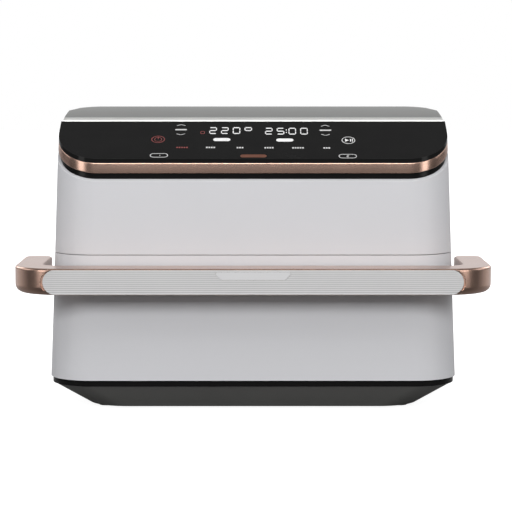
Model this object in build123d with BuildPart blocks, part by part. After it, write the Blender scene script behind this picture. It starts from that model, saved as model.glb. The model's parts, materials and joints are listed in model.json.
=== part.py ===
# Dual basket air fryer: one wide pull-out drawer that a loose divider parts into two baskets.
# Millimetres. X to the right, Y to the rear, Z up. Origin: bottom centre of the overall box.

from build123d import *
import math
import os

os.makedirs("parts", exist_ok=True)

# Overall
overall_depth = 385.0
handle_reach = 39.0
spacer_reach = 12.0
body_width = 432.8
side_draft = 0.0363
end_draft = 0.0231
corner_radius = 46.0
span = 700.0
beyond = 70.0
cutter_clear = 2.0

# Levels
pan_floor_z = 2.1
pan_top_z = 28.4
body_base_z = 34.3
seam_z = 167.5
rim_z = 245.0
gap_height = 7.4
trim_height = 10.8
glass_height = 4.5
strip_rise = 3.2
crest_z = 318.1
cover_rear_z = 308.3

# Sloping control panel
panel_angle = 28.6
rim_setback = 5.0
panel_run = 69.0
crest_setback = 206.0
strip_run = 6.0
strip_bevel = 2.4
strip_crown = 0.5
glass_edge = 0.6

# Walls and fits
housing_wall = 4.0
front_wall = 3.0
seam_gap = 0.6
fit = 0.3
snug = 0.1
running = 0.05
sheet = 1.2

# Outside trim
band_inset = 2.0
gap_recess = 3.0
gap_wall = 4.0
trim_inset = 0.3
trim_wall = 6.0
cover_inset = 2.5
cover_wall = 3.0
edge_fall = 3.0
edge_fall_run = 42.0
edge_overrun = 1.0
crown_overrun = 5.0

# Base
pan_side_slope = 36.0
pan_end_slope = 30.0
pan_wall = 2.5
pan_inset = 3.0
foot_radius = 9.0
foot_side_inset = 58.4
foot_end_inset = 59.0
foot_taper = 0.6
foot_stem_radius = 3.0
base_opening_width = 260.0
base_opening_corner = 10.0
base_opening_depth = 200.0
boss_radius = 5.0
boss_inset_x = 8.0
boss_inset_y = 38.0
post_radius = 4.0
stem_reach = 1.5
screw_radius = 2.0
screw_head_radius = 3.6
screw_head = 1.6

# Drawer front
front_return = 49.0
liner_thick = 3.0

seal_reach = 4.4
seal_width = 3.6

# Face frame and cooking chamber
frame_gap = 4.0
frame_thick = 2.0
side_room = 16.4
opening_low = 46.0
opening_high = 158.0
rear_room = 22.0
chamber_high = 206.0
blanket_thick = 6.0
deck_thick = 1.5

opening_corner = 6.0
chamber_corner = 24.0
shaft_hole_radius = 7.0

# Basket, divider and crisper plates
rail_room = 11.0
basket_room = 5.0
basket_height = 105.0
basket_wall = 1.5
basket_low = 48.0
basket_radius = 26.0
basket_bottom_radius = 8.0
flange_reach = 2.0
flange_thick = 2.0
divider_thick = 2.6
divider_height = 99.0
divider_lip = 8.0
guide_reach = 4.0
guide_thick = 2.0
plate_lift = 12.0
plate_thick = 2.0
plate_margin = 2.0
plate_inner_x = 5.0
bumper_radius = 4.5
bumper_stem_radius = 2.0
bumper_setback = 17.0
slot_length = 26.0
slot_width = 6.0
slot_pitch_x = 34.0
slot_pitch_y = 18.0
slot_columns = 4
slot_rows = 11
bumper_cap = 1.5
bumper_cap_radius = 3.5

# Runners
rail_reach = 7.3
rail_height = 6.0
rail_low = 114.3
runner_wall = 1.5
runner_height = 22.0
runner_end = 4.0

# Handle
handle_stand = 33.4
handle_thick = 30.0
handle_height = 28.0
handle_z = 143.0
handle_corner = 50.0
handle_low_edge = 8.5
handle_top_edge = 3.0
bar_gap = 2.0
arm_length = 145.0
insert_margin = 33.3
insert_height = 25.2
insert_depth = 4.0
insert_rim = 2.6
insert_rim_depth = 0.8
rib_count = 11
rib_pitch = 2.1
rib_gap = 0.9
rib_depth = 0.55
tab_top = 83.0
tab_bottom = 66.0
tab_height = 9.0
tab_drop = 1.6
tab_depth = 1.4
tab_corner = 2.0
arm_end_radius = 9.0
handle_screw_bite = 12.0
bracket_setback = 76.0
bracket_depth = 14.0
bracket_height = 14.0
bracket_drop = 2.0
bracket_pocket = 4.0
bracket_flange = 11.0
bracket_foot = 2.0

# Fans, motors and heaters
fan_margin = 10.0
fan_disc = 1.5
fan_blade_height = 14.0
fan_blades = 12
fan_blade_length = 50.0
fan_blade_turn = 25.0
blade_inset = 1.0
shaft_end = 4.0
fan_clear = 3.3
hub_radius = 9.0
shaft_radius = 3.0
motor_radius = 30.0
motor_height = 36.0
motor_wall = 4.0
rotor_radius = 15.0
rotor_gap = 0.6
bush_radius = 6.0
cooling_radius = 36.0
cooling_blade_height = 10.0
cooling_blades = 9
cooling_blade_length = 20.0
cooling_hub = 13.0
motor_flange = 8.0
motor_screw_ring = 34.0
heater_margin = 8.0
heater_spacing = 18.0
heater_tube = 3.25
heater_drop = 27.0
heater_tail = 10.0
heater_turn = 60.0
insulator_length = 8.0
insulator_radius = 6.5
guard_margin = 10.5
guard_drop = 37.0
guard_leg_inset = 3.0
guard_leg_radius = 2.0
guard_rings = 5
guard_spokes = 4
guard_ring_width = 3.0

# Electronics
display_width = 190.0
display_depth = 36.0
display_thick = 6.0
board_width = 262.0
board_depth = 54.0
board_thick = 1.6
tray_wall = 3.0
tray_floor = 2.0
tray_depth = 12.0
power_width = 150.0
power_depth = 90.0
power_lift = 6.0
coil_x = 52.0
coil_y = 18.0
coil_length = 30.0
coil_width = 24.0
coil_height = 9.0
can_pitch = 25.0
can_radius = 4.5
can_height = 7.0
terminal_x = 55.0
terminal_width = 20.0
terminal_length = 50.0
terminal_height = 8.0
tray_post_radius = 3.0

# Rear
rear_reach = 60.0
rear_corner = 12.0
rear_screw_inset = 8.0
rear_screw_sink = 2.0
vent_x = 75.0
vent_drop = 48.0
rear_margin = 66.4
rear_cut = 14.0
rear_panel_low = 62.0
rear_panel_high = 232.0
rear_panel_wall = 3.0
rear_lap = 6.0
vent_width = 70.0
vent_height = 4.5
vent_pitch = 9.0
vent_rows = 7
spacer_width = 14.0
spacer_height = 60.0
spacer_x = 115.0
spacer_z = 110.0
spacer_chamfer = 2.0
gland_x = -85.0
gland_z = 82.0
gland_radius = 8.0
gland_bore = 3.8
gland_reach = 11.0
gland_inner_reach = 6.0
gland_flange = 4.0
gland_flange_thick = 3.0
gland_round = 1.0

# Drawer switch
switch_setout = 6.2
switch_z = 100.0
switch_width = 6.0
switch_height = 22.0
switch_depth = 18.0
plunger_radius = 1.5
switch_wall = 2.0

# Thermostats
thermostat_x = 25.0
thermostat_radius = 8.0
thermostat_height = 12.0

# Places worked out from the sizes above
handle_front_y = -overall_depth / 2
body_front_y = handle_front_y + handle_reach
body_rear_y = overall_depth / 2 - spacer_reach
body_depth = body_rear_y - body_front_y
body_mid_y = (body_front_y + body_rear_y) / 2
panel_slope = math.tan(math.radians(panel_angle))
rim_y = body_front_y + rim_setback
knee_y = rim_y + panel_run
roof_z = crest_z + cutter_clear
trim_low = gap_height
trim_high = gap_height + trim_height
cover_low_z = rim_z + trim_high + panel_slope * panel_run
glass_top_z = cover_low_z + glass_height
strip_top_z = glass_top_z + strip_rise
front_back_y = body_front_y + front_return
frame_y = front_back_y + frame_gap
chamber_y = frame_y + frame_thick
chamber_rear_y = body_rear_y - rear_room
chamber_depth = chamber_rear_y - chamber_y
opening_half = body_width / 2 - side_room
basket_length = 2 * (opening_half - rail_room)
basket_depth = chamber_depth - basket_room
zone_x = basket_length / 4
guard_radius = zone_x - guard_margin
guard_leg_ring = guard_radius - guard_leg_inset
fan_radius = guard_radius - fan_margin
heater_radius = fan_radius - heater_margin
heater_inner_radius = heater_radius - heater_spacing
handle_half = body_width / 2 + handle_stand
insert_half = handle_half - insert_margin
foot_x = body_width / 2 - foot_side_inset
foot_y = body_depth / 2 - foot_end_inset
boss_x = foot_x - boss_inset_x
boss_y = foot_y - boss_inset_y
rear_panel_width = body_width - 2 * rear_margin
rear_screw_x = rear_panel_width / 2 - rear_screw_inset
rear_screw_z = (rear_panel_high - rear_panel_low) / 2 - rear_screw_inset
switch_x = opening_half + switch_setout
fan_y = (chamber_y + chamber_rear_y - sheet) / 2
ceiling_z = chamber_high - sheet
basket_outer_length = basket_length + 2 * basket_wall
basket_outer_depth = basket_depth + 2 * basket_wall
basket_front_y = front_back_y + flange_reach
basket_mid_y = basket_front_y + basket_outer_depth / 2
basket_floor_z = basket_low + basket_wall
basket_top_z = basket_floor_z + basket_height
deck_z = chamber_high + blanket_thick
motor_z = deck_z + deck_thick


def block_width(z):
    return body_width - 2 * side_draft * (z - body_base_z)


def block_depth(z):
    return body_depth - 2 * end_draft * (z - body_base_z)


# The outer form between two levels, set in from the skin
def drafted_block(low, high, inset, mode=Mode.ADD):
    outlines = []
    for level in (low, high):
        with BuildSketch(Plane.XY.offset(level)) as outline:
            with Locations((0, body_mid_y)):
                RectangleRounded(
                    block_width(level) - 2 * inset,
                    block_depth(level) - 2 * inset,
                    corner_radius - inset,
                )
        outlines.append(outline.sketch)
    loft(outlines, mode=mode)


# A side view outline in (y, z), run across the whole width
def across(points, mode=Mode.INTERSECT):
    with BuildSketch(Plane.YZ) as outline:
        with BuildLine():
            Polyline(*points, close=True)
        make_face()
    extrude(outline.sketch, amount=span / 2, both=True, mode=mode)


# The line that rises with the panel and then runs level to the rear
def rim_line(offset):
    start_y = body_front_y - beyond
    level = rim_z + offset + panel_slope * panel_run
    return [
        (start_y, rim_z + offset + panel_slope * (start_y - rim_y)),
        (knee_y, level),
        (body_rear_y + beyond, level),
    ]


def slice_between(low, high, mode=Mode.INTERSECT):
    across(rim_line(low) + rim_line(high)[::-1], mode)


# A plane that faces the front, with local x to the right and local y up
def facing(y):
    return Plane(origin=(0, y, 0), x_dir=(1, 0, 0), z_dir=(0, -1, 0))


def save(piece, name):
    piece.part.label = name
    export_step(piece.part, f"parts/{name}.step")


# Outer housing
with BuildPart() as outer_housing:
    drafted_block(body_base_z, roof_z, 0)
    base_line = [(body_front_y - beyond, body_base_z)]
    across(base_line + rim_line(0) + [(body_rear_y + beyond, body_base_z)])
    drafted_block(body_base_z, roof_z, housing_wall, Mode.SUBTRACT)
    with Locations((0, front_back_y + seam_gap, seam_z)):
        Box(span, span, span, align=(Align.CENTER, Align.MAX, Align.MAX), mode=Mode.SUBTRACT)
    with BuildSketch(facing(body_rear_y + beyond)):
        with Locations((0, (rear_panel_low + rear_panel_high) / 2)):
            RectangleRounded(rear_panel_width, rear_panel_high - rear_panel_low, rear_corner)
    extrude(amount=beyond + rear_cut, mode=Mode.SUBTRACT)
save(outer_housing, "outer_housing")

# Rear panel, flush in the opening, with a lap behind the housing wall
def rear_outline(grow):
    with BuildSketch(facing(body_rear_y + housing_wall)) as outline:
        with Locations((0, (rear_panel_low + rear_panel_high) / 2)):
            RectangleRounded(rear_panel_width + 2 * grow,
                             rear_panel_high - rear_panel_low + 2 * grow, rear_corner + grow)
    extrude(outline.sketch, amount=rear_reach, mode=Mode.INTERSECT)


with BuildPart() as rear_lap_plate:
    drafted_block(body_base_z, rim_z, housing_wall + snug)
    drafted_block(body_base_z, rim_z, housing_wall + rear_panel_wall - snug, Mode.SUBTRACT)
    rear_outline(rear_lap)

with BuildPart() as rear_panel:
    drafted_block(body_base_z, rim_z, 0)
    drafted_block(body_base_z, rim_z, housing_wall + rear_panel_wall, Mode.SUBTRACT)
    rear_outline(-fit)
    add(rear_lap_plate.part)
    with BuildSketch(facing(body_rear_y + housing_wall)):
        for side in (-1, 1):
            with Locations((side * vent_x, rear_panel_high - vent_drop)):
                with GridLocations(vent_width, vent_pitch, 1, vent_rows):
                    SlotOverall(vent_width, vent_height)
        with Locations((gland_x, gland_z)):
            Circle(gland_radius + snug)
    extrude(amount=rear_reach, mode=Mode.SUBTRACT)
    with BuildSketch(facing(body_rear_y + housing_wall)):
        with Locations((0, (rear_panel_low + rear_panel_high) / 2)):
            with GridLocations(rear_screw_x * 2, rear_screw_z * 2, 2, 2):
                Circle(screw_radius + fit)
    extrude(amount=rear_reach, mode=Mode.SUBTRACT)
save(rear_panel, "rear_panel")

# Spacers that keep the rear vents off a wall
with BuildPart() as rear_spacers:
    with BuildSketch(facing(overall_depth / 2)):
        with Locations((-spacer_x, spacer_z), (spacer_x, spacer_z)):
            SlotOverall(spacer_height, spacer_width, rotation=90)
    extrude(amount=2 * spacer_reach)
    chamfer(rear_spacers.faces().sort_by(Axis.Y)[-2:].edges(), length=spacer_chamfer)
with BuildPart() as spacer_cutter:
    drafted_block(pan_top_z, rim_z, 0)
with BuildPart() as spacers_cut:
    add(rear_spacers.part)
    add(spacer_cutter.part, mode=Mode.SUBTRACT)
save(spacers_cut, "rear_spacers")

# Lead inlet gland at the rear
with BuildPart() as cord_gland:
    with BuildSketch(facing(body_rear_y + gland_reach)):
        with Locations((gland_x, gland_z)):
            Circle(gland_radius)
    extrude(amount=gland_reach + housing_wall + rear_panel_wall + gland_inner_reach)
    with BuildSketch(facing(body_rear_y + gland_flange_thick)):
        with Locations((gland_x, gland_z)):
            Circle(gland_radius + gland_flange)
    extrude(amount=gland_flange_thick - fit)
    with BuildSketch(facing(body_rear_y + gland_reach)):
        with Locations((gland_x, gland_z)):
            Circle(gland_bore)
    extrude(amount=beyond, mode=Mode.SUBTRACT)
    fillet(cord_gland.edges().filter_by(GeomType.CIRCLE).sort_by(Axis.Y)[-1:],
           radius=gland_round)
save(cord_gland, "cord_gland")

# Recessed ring between the housing and the metal trim
with BuildPart() as gap_ring:
    drafted_block(body_base_z, roof_z, gap_recess)
    drafted_block(body_base_z, roof_z, gap_recess + gap_wall, Mode.SUBTRACT)
    slice_between(0, gap_height)
save(gap_ring, "gap_ring")

# Rose metal trim that follows the panel and runs round the body
with BuildPart() as panel_trim:
    drafted_block(body_base_z, roof_z, trim_inset)
    drafted_block(body_base_z, roof_z, trim_inset + trim_wall, Mode.SUBTRACT)
    slice_between(trim_low, trim_high)
save(panel_trim, "panel_trim")

# Sloping glass of the control panel
with BuildPart() as control_glass:
    drafted_block(body_base_z, roof_z, trim_inset)
    slice_between(trim_high, trim_high + glass_height)
    with Locations((0, knee_y, 0)):
        Box(span, span, span, align=(Align.CENTER, Align.MAX, Align.CENTER), mode=Mode.INTERSECT)
    chamfer(control_glass.faces().filter_by(GeomType.PLANE).sort_by(Axis.Z)[-1:].edges(),
            length=glass_edge)
save(control_glass, "control_glass")

# Bright strip along the top edge of the glass
strip_back_y = knee_y + strip_run
with BuildPart() as top_strip:
    drafted_block(body_base_z, roof_z, cover_inset)
    across([
        (knee_y + snug, cover_low_z),
        (knee_y + snug, glass_top_z + fit),
        (knee_y + strip_bevel, strip_top_z),
        (strip_back_y, strip_top_z + strip_crown),
        (strip_back_y, cover_low_z),
    ])
save(top_strip, "top_strip")


# Crowned outline of the top cover, lowered by a wall, as a side view
def crown(lower, inset):
    with BuildSketch(Plane.YZ) as outline:
        with BuildLine():
            front = (strip_back_y + inset, strip_top_z - lower)
            rear = (body_rear_y + crown_overrun, cover_rear_z - lower)
            ThreePointArc(front, (body_front_y + crest_setback, crest_z - lower), rear)
            Polyline(rear, (rear[0], cover_low_z), (front[0], cover_low_z), front)
        make_face()
    extrude(outline.sketch, amount=span / 2, both=True, mode=Mode.INTERSECT)


# Top cover
cover_half = block_width(crest_z) / 2 - cover_inset
with BuildPart() as cover_hollow:
    drafted_block(cover_low_z - cutter_clear, roof_z, cover_inset + cover_wall)
    crown(cover_wall + edge_fall, cover_wall)
with BuildPart() as top_cover:
    drafted_block(cover_low_z - cutter_clear, roof_z, cover_inset)
    crown(0, 0)
    with BuildSketch(facing(body_rear_y + beyond)):
        with BuildLine():
            left_edge = (-cover_half - edge_overrun, crest_z - edge_fall)
            left_top = (-cover_half + edge_fall_run, crest_z)
            right_top = (cover_half - edge_fall_run, crest_z)
            right_edge = (cover_half + edge_overrun, crest_z - edge_fall)
            TangentArc(left_top, left_edge, tangent=(-1, 0))
            TangentArc(right_top, right_edge, tangent=(1, 0))
            Line(left_top, right_top)
            Polyline(left_edge, (left_edge[0], body_base_z), (right_edge[0], body_base_z), right_edge)
        make_face()
    extrude(amount=span, mode=Mode.INTERSECT)
    add(cover_hollow.part, mode=Mode.SUBTRACT)
save(top_cover, "top_cover")

# Base band, a tray ring between the pan and the housing
with BuildPart() as base_band:
    with BuildSketch(Plane.XY.offset(pan_top_z)):
        with Locations((0, body_mid_y)):
            RectangleRounded(body_width - 2 * band_inset, body_depth - 2 * band_inset,
                             corner_radius - band_inset)
            RectangleRounded(base_opening_width, base_opening_depth, base_opening_corner,
                             mode=Mode.SUBTRACT)
        with Locations((0, body_mid_y)):
            with GridLocations(2 * boss_x, 2 * boss_y, 2, 2):
                Circle(screw_radius + running, mode=Mode.SUBTRACT)
    extrude(amount=body_base_z - pan_top_z)
save(base_band, "base_band")


# Tapered pan under the body
def pan_block(inset, low, mode=Mode.ADD):
    outlines = []
    for level, side, end in ((low, pan_side_slope, pan_end_slope), (pan_top_z, 0, 0)):
        with BuildSketch(Plane.XY.offset(level)) as outline:
            with Locations((0, body_mid_y)):
                RectangleRounded(
                    body_width - 2 * (pan_inset + side + inset),
                    body_depth - 2 * (pan_inset + end + inset),
                    corner_radius - pan_inset - inset,
                )
        outlines.append(outline.sketch)
    loft(outlines, mode=mode)


with BuildPart() as base_pan:
    pan_block(0, pan_floor_z)
    pan_block(pan_wall, pan_floor_z + pan_wall, Mode.SUBTRACT)
    with Locations((0, body_mid_y, pan_floor_z)):
        with GridLocations(2 * boss_x, 2 * boss_y, 2, 2):
            Cylinder(boss_radius, pan_top_z - pan_floor_z,
                     align=(Align.CENTER, Align.CENTER, Align.MIN))
            Cylinder(screw_radius + running, pan_top_z - pan_floor_z,
                     align=(Align.CENTER, Align.CENTER, Align.MIN), mode=Mode.SUBTRACT)
            Cylinder(screw_head_radius + snug, screw_head,
                     align=(Align.CENTER, Align.CENTER, Align.MIN), mode=Mode.SUBTRACT)
        with GridLocations(2 * foot_x, 2 * foot_y, 2, 2):
            Cylinder(foot_stem_radius + snug, pan_wall * 2, mode=Mode.SUBTRACT)
        with GridLocations(power_width - 2 * boss_radius, power_depth - 2 * boss_radius, 2, 2):
            Cylinder(post_radius, pan_wall + power_lift,
                     align=(Align.CENTER, Align.CENTER, Align.MIN))
save(base_pan, "base_pan")

with BuildPart() as feet:
    with Locations((0, body_mid_y, 0)):
        with GridLocations(2 * foot_x, 2 * foot_y, 2, 2):
            Cone(foot_radius - foot_taper, foot_radius, pan_floor_z,
                 align=(Align.CENTER, Align.CENTER, Align.MIN))
            Cylinder(foot_stem_radius, pan_floor_z + pan_wall + stem_reach,
                     align=(Align.CENTER, Align.CENTER, Align.MIN))
save(feet, "feet")

with BuildPart() as base_screws:
    with Locations((0, body_mid_y, pan_floor_z)):
        with GridLocations(2 * boss_x, 2 * boss_y, 2, 2):
            Cylinder(screw_head_radius, screw_head, align=(Align.CENTER, Align.CENTER, Align.MIN))
            Cylinder(screw_radius, body_base_z - pan_floor_z - fit,
                     align=(Align.CENTER, Align.CENTER, Align.MIN))
save(base_screws, "base_screws")

# Power board in the pan
with BuildPart() as power_board:
    with Locations((0, body_mid_y, pan_floor_z + pan_wall + power_lift)):
        Box(power_width, power_depth, board_thick, align=(Align.CENTER, Align.CENTER, Align.MIN))
        with Locations((0, 0, board_thick)):
            with Locations((-coil_x, coil_y, 0)):
                Box(coil_length, coil_width, coil_height,
                    align=(Align.CENTER, Align.CENTER, Align.MIN))
            with GridLocations(can_pitch, can_pitch, 3, 2):
                Cylinder(can_radius, can_height, align=(Align.CENTER, Align.CENTER, Align.MIN))
            with Locations((terminal_x, 0, 0)):
                Box(terminal_width, terminal_length, terminal_height,
                    align=(Align.CENTER, Align.CENTER, Align.MIN))
save(power_board, "power_board")

# The chamber's plan, square in front and rounded at the rear
def chamber_box(half, rear_y, radius, low, height, mode=Mode.ADD):
    with BuildSketch(Plane.XY.offset(low)) as outline:
        with Locations((0, chamber_y)):
            Rectangle(2 * half, rear_y - chamber_y, align=(Align.CENTER, Align.MIN))
        fillet(outline.vertices().group_by(Axis.Y)[-1], radius=radius)
    extrude(outline.sketch, amount=height, mode=mode)


# Face frame behind the drawer front
opening_mid_z = (opening_low + opening_high) / 2
seal_back_y = frame_y - fit
with BuildPart() as face_frame:
    drafted_block(body_base_z, chamber_high, housing_wall + fit)
    with Locations((0, frame_y, body_base_z)):
        Box(span, frame_thick, chamber_high - body_base_z,
            align=(Align.CENTER, Align.MIN, Align.MIN), mode=Mode.INTERSECT)
    with BuildSketch(facing(frame_y)):
        with Locations((0, opening_mid_z)):
            RectangleRounded(2 * opening_half, opening_high - opening_low, opening_corner)
        with Locations((switch_x, switch_z)):
            Circle(plunger_radius + snug)
    extrude(amount=-frame_thick, mode=Mode.SUBTRACT)
save(face_frame, "face_frame")

# Cooking chamber, an open-fronted sheet metal box
with BuildPart() as cooking_chamber:
    chamber_box(opening_half + sheet, chamber_rear_y, chamber_corner + sheet,
                body_base_z, chamber_high - body_base_z)
    chamber_box(opening_half, chamber_rear_y - sheet, chamber_corner,
                body_base_z + sheet, ceiling_z - body_base_z - sheet, Mode.SUBTRACT)
    with Locations((-zone_x, fan_y, chamber_high), (zone_x, fan_y, chamber_high)):
        Cylinder(shaft_hole_radius, 3 * sheet, mode=Mode.SUBTRACT)
    with BuildSketch(facing(chamber_rear_y)):
        for side in (-1, 1):
            for ring in (heater_radius, heater_inner_radius):
                with Locations((side * (zone_x - ring), ceiling_z - heater_drop)):
                    Circle(insulator_radius)
    extrude(amount=sheet, mode=Mode.SUBTRACT)
save(cooking_chamber, "cooking_chamber")

# Ceramic bushes where the heater tails leave the chamber
with BuildPart() as heater_insulators:
    with BuildSketch(facing(chamber_rear_y + insulator_length / 2)):
        for side in (-1, 1):
            for ring in (heater_radius, heater_inner_radius):
                with Locations((side * (zone_x - ring), ceiling_z - heater_drop)):
                    Circle(insulator_radius)
                    Circle(heater_tube + running, mode=Mode.SUBTRACT)
    extrude(amount=insulator_length)
save(heater_insulators, "heater_insulators")

# Runners on the chamber walls
with BuildPart() as runners:
    with BuildSketch(facing(chamber_y + runner_end)):
        runner_low = rail_low - fit - runner_wall
        for side in (-1, 1):
            with Locations((side * opening_half, runner_low)):
                edge = Align.MAX if side > 0 else Align.MIN
                Rectangle(opening_half - basket_outer_length / 2 - 2 * fit, runner_wall,
                          align=(edge, Align.MIN))
                Rectangle(runner_wall, runner_height, align=(edge, Align.MIN))
    extrude(amount=-(chamber_depth - sheet - chamber_corner - 2 * runner_end))
save(runners, "runners")

# Insulation and deck above the chamber
with BuildPart() as insulation_blanket:
    chamber_box(opening_half, chamber_rear_y, chamber_corner, chamber_high, blanket_thick)
    with Locations((-zone_x, fan_y, chamber_high), (zone_x, fan_y, chamber_high)):
        Cylinder(shaft_hole_radius, 3 * blanket_thick, mode=Mode.SUBTRACT)
save(insulation_blanket, "insulation_blanket")

with BuildPart() as motor_deck:
    chamber_box(opening_half, chamber_rear_y, chamber_corner, deck_z, deck_thick)
    with Locations((-zone_x, fan_y, deck_z), (zone_x, fan_y, deck_z)):
        Cylinder(shaft_hole_radius, 3 * deck_thick, mode=Mode.SUBTRACT)
    for side in (-1, 1):
        with Locations((side * zone_x, fan_y, deck_z)):
            with PolarLocations(motor_screw_ring, 3, start_angle=90 + 90 * side):
                Cylinder(screw_radius + running, 3 * deck_thick, mode=Mode.SUBTRACT)
save(motor_deck, "motor_deck")

# Left fan motor: a cup with a bush at each end round the rotor
with BuildPart() as left_motor:
    with Locations((-zone_x, fan_y, motor_z)):
        Cylinder(motor_radius, motor_height, align=(Align.CENTER, Align.CENTER, Align.MIN))
        Cylinder(motor_radius + motor_flange, motor_wall / 2,
                 align=(Align.CENTER, Align.CENTER, Align.MIN))
        with PolarLocations(motor_screw_ring, 3):
            Cylinder(screw_radius + running, motor_wall / 2,
                     align=(Align.CENTER, Align.CENTER, Align.MIN), mode=Mode.SUBTRACT)
        with Locations((0, 0, motor_wall)):
            Cylinder(rotor_radius + rotor_gap, motor_height - 2 * motor_wall,
                     align=(Align.CENTER, Align.CENTER, Align.MIN), mode=Mode.SUBTRACT)
        Cylinder(bush_radius, motor_height,
                 align=(Align.CENTER, Align.CENTER, Align.MIN), mode=Mode.SUBTRACT)

with BuildPart() as motor_bushes:
    for side in (-1, 1):
        for level in (motor_z, motor_z + motor_height - motor_wall):
            with Locations((side * zone_x, fan_y, level)):
                Cylinder(bush_radius, motor_wall, align=(Align.CENTER, Align.CENTER, Align.MIN))
                Cylinder(shaft_radius + running, motor_wall,
                         align=(Align.CENTER, Align.CENTER, Align.MIN), mode=Mode.SUBTRACT)
save(motor_bushes, "motor_bushes")

with BuildPart() as motor_screws:
    for side in (-1, 1):
        with Locations((side * zone_x, fan_y, motor_z + motor_wall / 2)):
            with PolarLocations(motor_screw_ring, 3, start_angle=90 + 90 * side):
                Cylinder(screw_head_radius, screw_head,
                         align=(Align.CENTER, Align.CENTER, Align.MIN))
                Cylinder(screw_radius, motor_wall / 2 + deck_thick,
                         align=(Align.CENTER, Align.CENTER, Align.MAX))
save(motor_screws, "motor_screws")

# Left fan: shaft with its rotor, hot air wheel below and cooling wheel above the motor
wheel_top_z = ceiling_z - fan_clear
wheel_low_z = wheel_top_z - fan_disc - fan_blade_height
cooling_z = motor_z + motor_height + fan_clear
with BuildPart() as left_fan_shaft:
    with Locations((-zone_x, fan_y, wheel_low_z - shaft_end)):
        Cylinder(shaft_radius, cooling_z + cooling_hub - wheel_low_z + 2 * shaft_end,
                 align=(Align.CENTER, Align.CENTER, Align.MIN))
    with Locations((-zone_x, fan_y, motor_z + motor_wall + rotor_gap)):
        Cylinder(rotor_radius, motor_height - 2 * motor_wall - 2 * rotor_gap,
                 align=(Align.CENTER, Align.CENTER, Align.MIN))

with BuildPart() as left_fan_wheel:
    with Locations((-zone_x, fan_y, wheel_top_z)):
        Cylinder(fan_radius, fan_disc, align=(Align.CENTER, Align.CENTER, Align.MAX))
        Cylinder(hub_radius, fan_disc + fan_blade_height,
                 align=(Align.CENTER, Align.CENTER, Align.MAX))
    with BuildSketch(Plane.XY.offset(wheel_low_z)):
        with Locations((-zone_x, fan_y)):
            with PolarLocations(fan_radius - fan_blade_length / 2 - blade_inset, fan_blades):
                Rectangle(fan_blade_length, fan_disc, rotation=fan_blade_turn)
    extrude(amount=fan_blade_height + fan_disc / 2)
    with Locations((-zone_x, fan_y, wheel_top_z)):
        Cylinder(shaft_radius, 3 * fan_blade_height, mode=Mode.SUBTRACT)

with BuildPart() as left_cooling_wheel:
    with Locations((-zone_x, fan_y, cooling_z)):
        Cylinder(cooling_radius, fan_disc, align=(Align.CENTER, Align.CENTER, Align.MIN))
        Cylinder(hub_radius, cooling_hub, align=(Align.CENTER, Align.CENTER, Align.MIN))
    with BuildSketch(Plane.XY.offset(cooling_z + fan_disc / 2)):
        with Locations((-zone_x, fan_y)):
            with PolarLocations(cooling_radius - cooling_blade_length / 2 - blade_inset, cooling_blades):
                Rectangle(cooling_blade_length, fan_disc, rotation=fan_blade_turn)
    extrude(amount=cooling_blade_height)
    with Locations((-zone_x, fan_y, cooling_z)):
        Cylinder(shaft_radius, 3 * cooling_blade_height, mode=Mode.SUBTRACT)

# Left heater: a double loop whose tails leave through the rear wall
heater_z = ceiling_z - heater_drop
tail_y = chamber_rear_y + heater_tail
turn_radius = (heater_radius - heater_inner_radius) / 2
turn_middle = heater_inner_radius + turn_radius
turn_x = -zone_x + turn_middle * math.cos(math.radians(heater_turn))
turn_y = fan_y + turn_middle * math.sin(math.radians(heater_turn))
half_sweep = (360 - heater_turn) / 2
with BuildPart() as left_heater:
    with BuildLine(Plane.XY.offset(heater_z)) as heater_path:
        centre = (-zone_x, fan_y)
        Line((-zone_x + heater_radius, tail_y), (-zone_x + heater_radius, fan_y))
        CenterArc(centre, heater_radius, 0, -half_sweep)
        CenterArc(centre, heater_radius, -half_sweep, -half_sweep)
        CenterArc((turn_x, turn_y), turn_radius, heater_turn, -180)
        CenterArc(centre, heater_inner_radius, heater_turn, half_sweep)
        CenterArc(centre, heater_inner_radius, heater_turn + half_sweep, half_sweep)
        Line((-zone_x + heater_inner_radius, fan_y), (-zone_x + heater_inner_radius, tail_y))
    with BuildSketch(facing(tail_y)):
        with Locations((-zone_x + heater_radius, heater_z)):
            Circle(heater_tube)
    sweep(path=heater_path.line)

# Left guard under the heater, hung from the ceiling on four legs
with BuildPart() as left_heater_guard:
    guard_z = ceiling_z - guard_drop
    with BuildSketch(Plane.XY.offset(guard_z)):
        with Locations((-zone_x, fan_y)):
            ring_step = (guard_radius - guard_ring_width) / guard_rings
            for ring in range(guard_rings + 1):
                outer = guard_ring_width + ring * ring_step
                Circle(outer)
                if ring:
                    Circle(outer - guard_ring_width, mode=Mode.SUBTRACT)
            for spoke in range(guard_spokes):
                Rectangle(2 * guard_radius - guard_ring_width, guard_ring_width,
                          rotation=180 * spoke / guard_spokes)
    extrude(amount=sheet)
    with Locations((-zone_x, fan_y, guard_z)):
        with PolarLocations(guard_leg_ring, 4):
            Cylinder(guard_leg_radius, guard_drop, align=(Align.CENTER, Align.CENTER, Align.MIN))

# The right side repeats the left
for kind, left in (
    ("motor", left_motor),
    ("fan_shaft", left_fan_shaft),
    ("fan_wheel", left_fan_wheel),
    ("cooling_wheel", left_cooling_wheel),
    ("heater", left_heater),
    ("heater_guard", left_heater_guard),
):
    save(left, f"left_{kind}")
    with BuildPart() as right:
        mirror(left.part, about=Plane.YZ)
    save(right, f"right_{kind}")

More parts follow.
